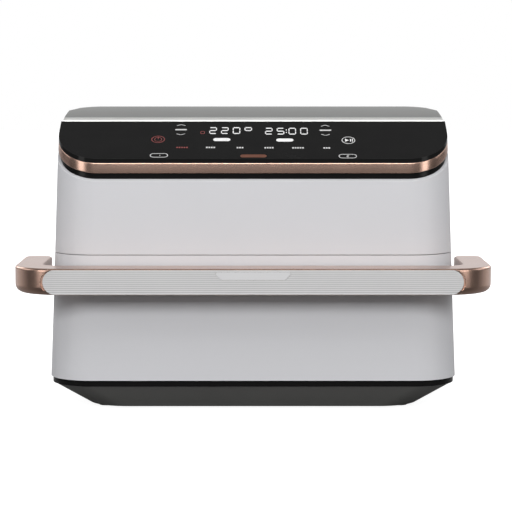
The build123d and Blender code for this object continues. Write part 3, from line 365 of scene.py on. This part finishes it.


# %% [markdown]
# The outside: a satin white shell, a white insert with fine ribs drawn in painted shade, rose
# coloured metal, a satin grey lid with a bright front edge, black backed glass, and a dark moulded
# base. The inside: dark nonstick coating, coated and bright steel, heat-darkened heater tube,
# aluminium wheels, plastic, ceramic, fibre, circuit board and silicone. The tab's edge colour is
# dark: painted shade for the fine gap that runs round it on the real handle. On most other finishes
# a lighter edge colour is a painted highlight along the edges.

# %% The table of finishes
# A lighter edge colour paints a highlight along the edges, the tab's dark edge paints shade in its
# gap, and the insert's ribs get painted shade in their grooves.
finishes = {
    "white_shell": dict(colour=(0.63, 0.635, 0.66), gloss=0.42, depth=0.025, tone=0.02, dust=0.02,
                        edge=(0.80, 0.80, 0.82), edge_mix=0.5),
    "white_insert": dict(colour=(0.68, 0.68, 0.685), gloss=0.38, depth=0.02, tone=0.03, dust=0.0,
                         stretch=(0.05, 0.05, 1), groove_shade=0.42),
    # The tab's dark edge colour is painted shade in the gap round the tab.
    "white_tab": dict(colour=(0.68, 0.68, 0.69), gloss=0.30, depth=0.015, tone=0.02, dust=0.0,
                      edge=(0.14, 0.13, 0.12), edge_mix=2.0, radius=0.0011),
    "dark_pan": dict(colour=(0.15, 0.15, 0.145), gloss=0.55, grain=1500.0, depth=0.10, tone=0.15,
                     edge=(0.12, 0.12, 0.12)),
    "black_band": dict(colour=(0.006, 0.006, 0.006), gloss=0.22, depth=0.01, tone=0.1, dust=0.0,
                       shine=0.15),
    "rose_metal": dict(colour=(0.57, 0.38, 0.305), gloss=0.24, metal=1.0, grain=1400.0, depth=0.03,
                       stretch=(0.04, 1, 1), tone=0.05, dust=0.01, edge=(0.84, 0.70, 0.60),
                       edge_mix=0.4),
    "black_glass": dict(colour=(0.009, 0.009, 0.009), gloss=0.08, grain=30.0, depth=0.0006,
                        tone=0.1, tone_scale=5.0, dust=0.01, edge=(0.10, 0.10, 0.10), shine=0.12),
    "grey_cover": dict(colour=(0.13, 0.13, 0.118), gloss=0.38, depth=0.03, tone=0.08,
                       tone_scale=6.0, edge=(0.34, 0.34, 0.33)),
    "bright_strip": dict(colour=(0.72, 0.72, 0.70), gloss=0.30, metal=0.6, depth=0.02, tone=0.04,
                         stretch=(0.05, 1, 1), edge=(0.9, 0.9, 0.88)),
    "grey_plastic": dict(colour=(0.10, 0.10, 0.10), gloss=0.5, depth=0.08, tone=0.10,
                         edge=(0.18, 0.18, 0.18)),
    "rubber_foot": dict(colour=(0.025, 0.025, 0.025), gloss=0.8, grain=700.0, depth=0.15, tone=0.2),
    "silicone": dict(colour=(0.09, 0.09, 0.09), gloss=0.6, depth=0.05, tone=0.12),
    "nonstick": dict(colour=(0.035, 0.035, 0.036), gloss=0.38, grain=1800.0, depth=0.08, tone=0.18,
                     tone_scale=60.0, edge=(0.16, 0.16, 0.16), edge_mix=0.35),
    "chamber_steel": dict(colour=(0.40, 0.40, 0.39), gloss=0.42, metal=0.9, depth=0.04, tone=0.12,
                          stretch=(0.05, 1, 1)),
    "bright_steel": dict(colour=(0.58, 0.58, 0.57), gloss=0.30, metal=1.0, depth=0.03, tone=0.08,
                         stretch=(1, 0.05, 1)),
    "heater_steel": dict(colour=(0.20, 0.17, 0.15), gloss=0.45, metal=0.9, depth=0.05, tone=0.5,
                         tone_scale=40.0),
    "fan_aluminium": dict(colour=(0.62, 0.62, 0.61), gloss=0.34, metal=1.0, depth=0.03, tone=0.06),
    "cooling_plastic": dict(colour=(0.06, 0.06, 0.06), gloss=0.5, depth=0.05, tone=0.12),
    "motor_steel": dict(colour=(0.50, 0.50, 0.52), gloss=0.36, metal=1.0, depth=0.03, tone=0.15,
                        tone_scale=70.0),
    "bush_brass": dict(colour=(0.58, 0.44, 0.22), gloss=0.45, metal=1.0, grain=2500.0, depth=0.12,
                       tone=0.12),
    "insulator_white": dict(colour=(0.76, 0.74, 0.68), gloss=0.30, depth=0.02, tone=0.05),
    "blanket_fibre": dict(colour=(0.62, 0.60, 0.52), gloss=0.9, grain=380.0, depth=0.6, tone=0.25,
                          tone_scale=90.0, stretch=(0.35, 1, 1)),
    "board_green": dict(colour=(0.03, 0.13, 0.06), gloss=0.35, grain=260.0, depth=0.08, tone=0.5,
                        tone_scale=180.0),
    "display_dark": dict(colour=(0.04, 0.04, 0.04), gloss=0.5, depth=0.04, tone=0.1),
    "screw_steel": dict(colour=(0.52, 0.52, 0.52), gloss=0.32, metal=1.0, depth=0.03, tone=0.08),
}
materials = {name: make_finish(name, **values) for name, values in finishes.items()}
print("finishes", len(materials))

# %% [markdown]
# The CAD nodes keep their meshes and take the new finish in their own slots.

# %% Finish on the CAD nodes
for node_name, node in frame["nodes"].items():
    for index in range(len(node.material_slots)):
        node.material_slots[index].material = materials[slot_of_node[node_name]]
print("dressed nodes", len(frame["nodes"]))

# %% [markdown]
# ## Rounded skins
# A CAD edge is perfectly sharp, but a moulded or pressed edge always has a small radius that
# catches a line of light. Each visible outside node gets a copy: its loose triangles are merged,
# flat areas are joined to one face, and a Bevel modifier rounds what is left of the sharp edges.
# The copy replaces the node and rides the same body.

# %% Make a rounded skin
weld_distance = 1e-6
flat_angle = radians(0.12)
sharp_angle = radians(28.0)
edge_segments = 2


def rounded_skin(node_name, width):
    node = frame["nodes"][node_name]
    mesh = bpy.data.meshes.new(f"{node_name}_skin")
    shell = bmesh.new()
    shell.from_mesh(node.data)
    bmesh.ops.remove_doubles(shell, verts=shell.verts, dist=weld_distance)
    bmesh.ops.dissolve_limit(shell, angle_limit=flat_angle, verts=shell.verts, edges=shell.edges)
    for face in shell.faces:
        face.smooth = True
        face.material_index = 0
    shell.to_mesh(mesh)
    shell.free()
    for name in ("custom_normal", "sharp_edge", "sharp_face"):
        if mesh.attributes.get(name):
            mesh.attributes.remove(mesh.attributes[name])
    mesh.materials.append(materials[slot_of_node[node_name]])
    skin = bpy.data.objects.new(f"{node_name}_skin", mesh)
    bpy.context.scene.collection.objects.link(skin)
    bevel = skin.modifiers.new("edges", "BEVEL")
    bevel.width = width
    bevel.segments = edge_segments
    bevel.limit_method = "ANGLE"
    bevel.angle_limit = sharp_angle
    bevel.harden_normals = False
    normals = skin.modifiers.new("normals", "WEIGHTED_NORMAL")
    normals.keep_sharp = False
    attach(skin, body_of_node[node_name])
    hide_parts(node_name)
    print(node_name, "faces", len(mesh.polygons))


# %% The outside skins
skin_edges = {
    "outer_housing": 0.0008,
    "drawer_front": 0.0004,
    "panel_trim": 0.0009,
    "control_glass": 0.0006,
    "top_cover": 0.0012,
    "top_strip": 0.0006,
    "gap_ring": 0.0004,
    "base_band": 0.0008,
    "base_pan": 0.0010,
    "handle_bar": 0.0006,
    "handle_insert": 0.0003,
    "handle_tab": 0.0003,
    "rear_panel": 0.0006,
    "rear_spacers": 0.0008,
    "cord_gland": 0.0005,
    "basket": 0.0005,
    "front_liner": 0.0005,
}
for skin_name, skin_edge in skin_edges.items():
    rounded_skin(skin_name, skin_edge)

# %% [markdown]
# ## Symbols on the glass
# The real panel is printed and lit from behind: two groups of figures, rings, pills, small marks.
# Only plain figures and plain shapes are drawn here. Each mark is a thin plate, because the
# outline then stays crisp at any size. A mark is laid out flat in millimetres, x to the right and
# y up the slope, measured from the middle of the glass's top edge, and then turned onto the glass.

# %% Where the glass lies
panel_angle = 28.6
slope = radians(panel_angle)
glass_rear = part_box("control_glass")[1].y
glass_crest = max((v.co for v in frame["nodes"]["control_glass"].data.vertices), key=lambda c: c.z)
glass_edge_z = glass_crest.z + (glass_rear - glass_crest.y) * tan(slope)
glass_place = Matrix((
    (1, 0, 0, 0),
    (0, cos(slope), -sin(slope), glass_rear),
    (0, sin(slope), cos(slope), glass_edge_z),
    (0, 0, 0, 1),
))
print("glass top edge", glass_rear, glass_edge_z)


# %% Flat shapes for the marks
full_round = 0.98
round_segments = 5
disc_steps = 28


def place_marks(shape, verts, x, y, turn=0.0):
    matrix = Matrix.Translation((x, y, 0)) @ Matrix.Rotation(turn, 4, "Z")
    bmesh.ops.transform(shape, matrix=matrix, verts=verts)


def pill(shape, x, y, width, height, corner=None, turn=0.0):
    made = bmesh.ops.create_grid(shape, x_segments=1, y_segments=1, size=0.5)["verts"]
    bmesh.ops.scale(shape, vec=(width, height, 1), verts=made)
    corner = min(width, height) / 2 * full_round if corner is None else corner
    rounded = bmesh.ops.bevel(shape, geom=made, offset=corner, offset_type="OFFSET",
                              segments=round_segments,
                              affect="VERTICES", profile=0.5, material=-1)
    face = rounded["verts"][0].link_faces[0]
    place_marks(shape, list(face.verts), x, y, turn)
    return face


def disc(shape, x, y, width, height):
    made = bmesh.ops.create_circle(shape, cap_ends=True, radius=0.5, segments=disc_steps)["verts"]
    bmesh.ops.scale(shape, vec=(width, height, 1), verts=made)
    place_marks(shape, made, x, y)
    return made[0].link_faces[0]


def hollow(shape, face, line):
    bmesh.ops.inset_individual(shape, faces=[face], thickness=line, depth=0.0)
    bmesh.ops.delete(shape, geom=[face], context="FACES_ONLY")


# %% [markdown]
# A figure has up to seven straight strokes, named a to g as on any such display: a on top, g in
# the middle, d at the foot, b and c on the right, f and e on the left. The small ring of a degree
# sign is the upper four. Only the signs that the panel shows are in the table.

# %% Figures made of strokes
strokes_of_sign = {"0": "abcdef", "1": "bc", "2": "abged", "5": "afgcd", "o": "abgf"}
level_gap = 0.7
upright_gap = 0.55


def figure(shape, sign, x, y, width, height, level_line, upright_line):
    half_w, half_h = width / 2, height / 2
    spots = {
        "a": (0, half_h, True), "g": (0, 0, True), "d": (0, -half_h, True),
        "b": (half_w, half_h / 2, False), "c": (half_w, -half_h / 2, False),
        "f": (-half_w, half_h / 2, False), "e": (-half_w, -half_h / 2, False),
    }
    for stroke in strokes_of_sign[sign]:
        over, up, is_level = spots[stroke]
        if is_level:
            pill(shape, x + over, y + up, width - upright_line * level_gap, level_line)
        else:
            pill(shape, x + over, y + up, upright_line, half_h - level_line * upright_gap)


# %% [markdown]
# The light of a mark is an emission in the mark's own colour. A plain lamp could light it, but an
# emission costs no samples. The soft tone makes it uneven, as the small lamps behind the glass do.

# %% Lit print
lamp_scale = 220.0
lamp_unevenness = 0.5
print_gloss = 0.4


def lit_print(name, colour, strength):
    material = bpy.data.materials.new(name)
    material.use_nodes = True
    tree = material.node_tree
    shader = tree.nodes["Principled BSDF"]
    tone_node = add_node(tree, "ShaderNodeGroup", node_tree=soft_tone)
    tone_node.inputs["Color"].default_value = (*colour, 1)
    tone_node.inputs["Scale"].default_value = lamp_scale
    tone_node.inputs["Amount"].default_value = lamp_unevenness
    tree.links.new(tone_node.outputs["Color"], shader.inputs["Base Color"])
    tree.links.new(tone_node.outputs["Color"], shader.inputs["Emission Color"])
    shader.inputs["Emission Strength"].default_value = strength
    shader.inputs["Roughness"].default_value = print_gloss
    return material


print_white = lit_print("print_white", (0.62, 0.62, 0.62), 0.55)
print_grey = lit_print("print_grey", (0.42, 0.42, 0.42), 0.6)
print_red = lit_print("print_red", (0.17, 0.04, 0.038), 0.6)
print_amber = lit_print("print_amber", (0.10, 0.036, 0.02), 0.5)
print("prints", [ink.name for ink in (print_white, print_grey, print_red, print_amber)])

# %% [markdown]
# A finished set of marks is one piece. Its flat faces are extruded to thin plates, lifted just
# clear of the glass, turned from millimetres to metres and laid on the slope.

# %% Lay the marks on the glass
mark_thickness = 0.06
mark_lift = 0.02
metres_per_mm = 0.001


def finish_marks(shape, name, material):
    lifted = bmesh.ops.extrude_face_region(shape, geom=shape.faces[:])
    top = [item for item in lifted["geom"] if isinstance(item, bmesh.types.BMVert)]
    bmesh.ops.translate(shape, vec=(0, 0, mark_thickness), verts=top)
    bmesh.ops.translate(shape, vec=(0, 0, mark_lift), verts=shape.verts)
    bmesh.ops.recalc_face_normals(shape, faces=shape.faces)
    bmesh.ops.scale(shape, vec=(metres_per_mm,) * 3, verts=shape.verts)
    bmesh.ops.transform(shape, matrix=glass_place, verts=shape.verts)
    mesh = bpy.data.meshes.new(name)
    shape.to_mesh(mesh)
    shape.free()
    mesh.materials.append(material)
    marks = bpy.data.objects.new(name, mesh)
    bpy.context.scene.collection.objects.link(marks)
    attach(marks, "body")
    print(name, "faces", len(mesh.polygons))


# %% White figures and pills
figure_rows = (("220o", -42.7, -20.2), ("2500", 16.7, -21.5))
figure_pitch = 12.5
figure_width = 7.0
figure_height = 12.2
level_line = 1.8
upright_line = 1.0
colon_x = 35.4
colon_levels = (-19.0, -24.0)
dot_width = 1.1
dot_height = 2.0
pill_places = ((-33.2, -39.0), (33.5, -40.0))
pill_width = 18.2
pill_height = 6.2
lit = bmesh.new()
for signs, first_x, row_y in figure_rows:
    for index, sign in enumerate(signs):
        figure(lit, sign, first_x + index * figure_pitch, row_y, figure_width, figure_height,
               level_line, upright_line)
for colon_y in colon_levels:
    pill(lit, colon_x, colon_y, dot_width, dot_height)
for pill_x, pill_y in pill_places:
    pill(lit, pill_x, pill_y, pill_width, pill_height)
print("white faces so far", len(lit.faces))

# %% White start and pause sign
key_y = -40.4
arrow_x = 98.6
arrow_radius = 2.8
arrow_stretch = (0.9, 1.3, 1)
pause_bars = (103.0, 105.0)
pause_width = 0.9
pause_height = 5.6
arrow = bmesh.ops.create_circle(lit, cap_ends=True, radius=arrow_radius, segments=3)["verts"]
bmesh.ops.rotate(lit, cent=(0, 0, 0), matrix=Matrix.Rotation(radians(-90), 3, "Z"), verts=arrow)
bmesh.ops.scale(lit, vec=arrow_stretch, verts=arrow)
place_marks(lit, arrow, arrow_x, key_y)
for bar_x in pause_bars:
    pill(lit, bar_x, key_y, pause_width, pause_height)
finish_marks(lit, "white_marks", print_white)

# %% Grey ring and numbered pills
ring_x = 100.8
ring_width = 14.4
ring_height = 14.6
ring_line = 0.9
zone_pills = (("1", -98.5, -71.2), ("2", 98.9, -72.9))
zone_width = 19.0
zone_height = 8.2
zone_line = 0.8
zone_figure = dict(width=2.0, height=3.2, level_line=0.9, upright_line=0.6)
dim = bmesh.new()
hollow(dim, disc(dim, ring_x, key_y, ring_width, ring_height), ring_line)
for zone, zone_x, zone_y in zone_pills:
    hollow(dim, pill(dim, zone_x, zone_y, zone_width, zone_height), zone_line)
    figure(dim, zone, zone_x, zone_y, **zone_figure)
print("grey faces so far", len(dim.faces))

# %% Grey chevrons over and under a bar
chevron_places = ((-77.0, -18.3), (77.1, -19.6))
chevron_half = 2.3
chevron_rise = 9.6
chevron_turn = radians(28)
chevron_length = 5.0
chevron_line = 0.8
middle_length = 12.6
middle_line = 2.6
for centre_x, centre_y in chevron_places:
    pill(dim, centre_x, centre_y, middle_length, middle_line)
    for side in (-1, 1):
        for level in (-1, 1):
            pill(dim, centre_x + side * chevron_half, centre_y + level * chevron_rise,
                 chevron_length, chevron_line, turn=-side * level * chevron_turn)
print("grey faces so far", len(dim.faces))

# %% Rows of small grey marks
small_rows = ((-44.8, -55.2, 4), (-13.8, -55.6, 3), (16.7, -55.8, 4), (47.2, -56.0, 5),
              (77.4, -56.2, 3))
small_pitch = 2.6
small_width = 1.9
small_height = 2.8
small_corner = 0.5


def small_row(shape, centre_x, centre_y, count, height):
    for index in range(count):
        x = centre_x + (index - (count - 1) / 2) * small_pitch
        pill(shape, x, centre_y, small_width, height, corner=small_corner)


for centre_x, centre_y, count in small_rows:
    small_row(dim, centre_x, centre_y, count, small_height)
finish_marks(dim, "grey_marks", print_grey)

# %% Red ring and marks
power_x = -100.6
power_y = -38.5
power_outer = (14.4, 14.2)
power_inner = (8.0, 9.0)
power_pin_y = -35.6
power_pin = (0.8, 5.0)
outer_line = 0.8
inner_line = 0.6
lock_place = (-53.8, -24.4)
lock_size = (4.6, 5.4)
lock_corner = 1.4
lock_line = 0.7
red_row_place = (-74.9, -55.2)
red_row_count = 5
red_row_height = 2.4
red = bmesh.new()
hollow(red, disc(red, power_x, power_y, *power_outer), outer_line)
hollow(red, disc(red, power_x, power_y, *power_inner), inner_line)
pill(red, power_x, power_pin_y, *power_pin)
hollow(red, pill(red, *lock_place, *lock_size, corner=lock_corner), lock_line)
small_row(red, *red_row_place, red_row_count, red_row_height)
finish_marks(red, "red_marks", print_red)

# %% Amber bar
bar_place = (0.3, -72.5)
bar_width = 27.6
bar_height = 5.8
amber = bmesh.new()
pill(amber, *bar_place, bar_width, bar_height)
finish_marks(amber, "amber_bar", print_amber)

# %% [markdown]
# ## Studio
# A product like this is shot on a pale sweep. A satin metal shows whatever stands in front of it,
# so the room before it is kept dim, two tall narrow boxes at either side of the camera make the
# bright bands at the trim's corners, and the pale paper behind gives the bright tops. A curved
# sweep would hide the object from behind, so a wide flat floor and a pale surround stand for it.

# %% Floor
floor_size = 9.0
plane = bmesh.new()
bmesh.ops.create_grid(plane, x_segments=1, y_segments=1, size=floor_size)
floor_mesh = bpy.data.meshes.new("studio_floor")
plane.to_mesh(floor_mesh)
plane.free()
studio_floor = bpy.data.objects.new("studio_floor", floor_mesh)
bpy.context.scene.collection.objects.link(studio_floor)
paper = make_finish("paper", (0.5, 0.5, 0.5), 0.9, depth=0.02, tone=0.01, tone_scale=3.0, dust=0.0)
floor_mesh.materials.append(paper)
print("floor faces", len(floor_mesh.polygons))

# %% [markdown]
# The paper is darker before the object, so that the low front and the bar's underside stay in
# shade, and pale behind it. The Object coordinate's Y drives that change.

# %% Paper's own colour, by depth
front_y = -0.25
back_y = 0.7
front_tone = 0.10
back_tone = 0.92
paper_tree = paper.node_tree
paper_shader = paper_tree.nodes["Principled BSDF"]
paper_place = add_node(paper_tree, "ShaderNodeTexCoord")
paper_parts = add_node(paper_tree, "ShaderNodeSeparateXYZ")
paper_depth = add_node(paper_tree, "ShaderNodeMapRange")
paper_depth.inputs["From Min"].default_value = front_y
paper_depth.inputs["From Max"].default_value = back_y
paper_depth.inputs["To Min"].default_value = front_tone
paper_depth.inputs["To Max"].default_value = back_tone
paper_tree.links.new(paper_place.outputs["Object"], paper_parts.inputs[0])
paper_tree.links.new(paper_parts.outputs["Y"], paper_depth.inputs["Value"])
paper_tree.links.new(paper_depth.outputs["Result"], paper_shader.inputs["Base Color"])
print("paper tones", front_tone, back_tone)

# %% [markdown]
# To the camera alone the paper is lit up to white, a little less close round the base, so the
# contact shadow stays. Light Path tells a camera ray from a reflection.

# %% Paper lit up for the camera
near_base = 0.25
far_off = 0.9
near_glow = 0.92
far_glow = 1.0
seen = add_node(paper_tree, "ShaderNodeLightPath")
glow = add_node(paper_tree, "ShaderNodeEmission")
added = add_node(paper_tree, "ShaderNodeAddShader")
plain = add_node(paper_tree, "ShaderNodeMixShader")
away = add_node(paper_tree, "ShaderNodeVectorMath", operation="LENGTH")
paper_glow = add_node(paper_tree, "ShaderNodeMapRange")
paper_glow.inputs["From Min"].default_value = near_base
paper_glow.inputs["From Max"].default_value = far_off
paper_glow.inputs["To Min"].default_value = near_glow
paper_glow.inputs["To Max"].default_value = far_glow
paper_out = paper_tree.nodes["Material Output"]
paper_tree.links.new(paper_place.outputs["Object"], away.inputs[0])
paper_tree.links.new(away.outputs["Value"], paper_glow.inputs["Value"])
paper_tree.links.new(paper_glow.outputs["Result"], glow.inputs["Strength"])
paper_tree.links.new(paper_shader.outputs[0], added.inputs[0])
paper_tree.links.new(glow.outputs[0], added.inputs[1])
paper_tree.links.new(seen.outputs["Is Camera Ray"], plain.inputs[0])
paper_tree.links.new(paper_shader.outputs[0], plain.inputs[1])
paper_tree.links.new(added.outputs[0], plain.inputs[2])
paper_tree.links.new(plain.outputs[0], paper_out.inputs[0])
print("paper glow", near_glow, far_glow)

# %% [markdown]
# Each lamp is a soft box, an area light with a real size, because its shape is what the lacquer
# and the trim reflect. All are turned to one point in the middle of the front.

# %% Soft boxes
focus = Vector((0.0, -0.1, 0.2))
warm_tint = (1.0, 0.97, 0.95)


def soft_box(name, place, width, height, power, tint=(1, 1, 1)):
    data = bpy.data.lights.new(name, "AREA")
    data.shape = "RECTANGLE"
    data.size = width
    data.size_y = height
    data.energy = power
    data.color = tint
    light = bpy.data.objects.new(name, data)
    light.location = place
    light.rotation_euler = (focus - Vector(place)).to_track_quat("-Z", "Y").to_euler()
    bpy.context.scene.collection.objects.link(light)


for side in (-1, 1):
    soft_box(f"side_box_{side}", (side * 1.72, -1.45, 0.8), width=0.66, height=1.7, power=8.5,
             tint=warm_tint)
    soft_box(f"back_box_{side}", (side * 2.3, 2.4, 1.5), width=1.4, height=1.4, power=14.0)
    soft_box(f"flank_box_{side}", (side * 2.4, 0.4, 1.2), width=1.6, height=1.4, power=7.0)
soft_box("top_box", (0.0, -1.35, 2.2), width=2.4, height=1.1, power=15.0)
soft_box("front_box", (0.0, -3.0, 1.42), width=2.2, height=0.9, power=55.0)

# %% [markdown]
# The air of the room: dim in front of the object, brighter overhead, and brightest low down behind
# it, where the paper would be. The camera itself sees plain white. A plain grey world would light
# the satin parts from all sides alike and take away their shading.

# %% Surround
low_air = 0.14
high_air = 0.26
behind_air = 0.75
world = bpy.data.worlds.new("studio_air")
world.use_nodes = True
air_tree = world.node_tree
air = air_tree.nodes["Background"]
air.inputs["Color"].default_value = (0.97, 0.98, 1.0, 1)
direction = add_node(air_tree, "ShaderNodeTexCoord")
parts = add_node(air_tree, "ShaderNodeSeparateXYZ")
height = add_node(air_tree, "ShaderNodeMapRange")
height.inputs["From Min"].default_value = 0.15
height.inputs["From Max"].default_value = 0.95
height.inputs["To Min"].default_value = low_air
height.inputs["To Max"].default_value = high_air
behind = add_node(air_tree, "ShaderNodeMapRange")
behind.inputs["From Min"].default_value = 0.55
behind.inputs["From Max"].default_value = 0.95
behind.inputs["To Max"].default_value = behind_air
both = add_node(air_tree, "ShaderNodeMath", operation="ADD")
white = add_node(air_tree, "ShaderNodeBackground")
white.inputs["Color"].default_value = (1, 1, 1, 1)
choose = add_node(air_tree, "ShaderNodeMixShader")
watched = add_node(air_tree, "ShaderNodeLightPath")
print("air nodes", len(air_tree.nodes))

# %% Surround, joined up
air_links = air_tree.links
air_links.new(direction.outputs["Generated"], parts.inputs[0])
air_links.new(parts.outputs["Z"], height.inputs["Value"])
air_links.new(parts.outputs["Y"], behind.inputs["Value"])
air_links.new(height.outputs["Result"], both.inputs[0])
air_links.new(behind.outputs["Result"], both.inputs[1])
air_links.new(both.outputs[0], air.inputs["Strength"])
air_links.new(watched.outputs["Is Camera Ray"], choose.inputs[0])
air_links.new(air.outputs[0], choose.inputs[1])
air_links.new(white.outputs[0], choose.inputs[2])
air_links.new(choose.outputs[0], air_tree.nodes["World Output"].inputs[0])
bpy.context.scene.world = world
print("air links", len(air_links))

# %% [markdown]
# ## Last update
# The view layer is updated once more, so every placed piece is current. The dressed
# model must stay inside the CAD model's box.

# %% Update the view layer
bpy.context.view_layer.update()
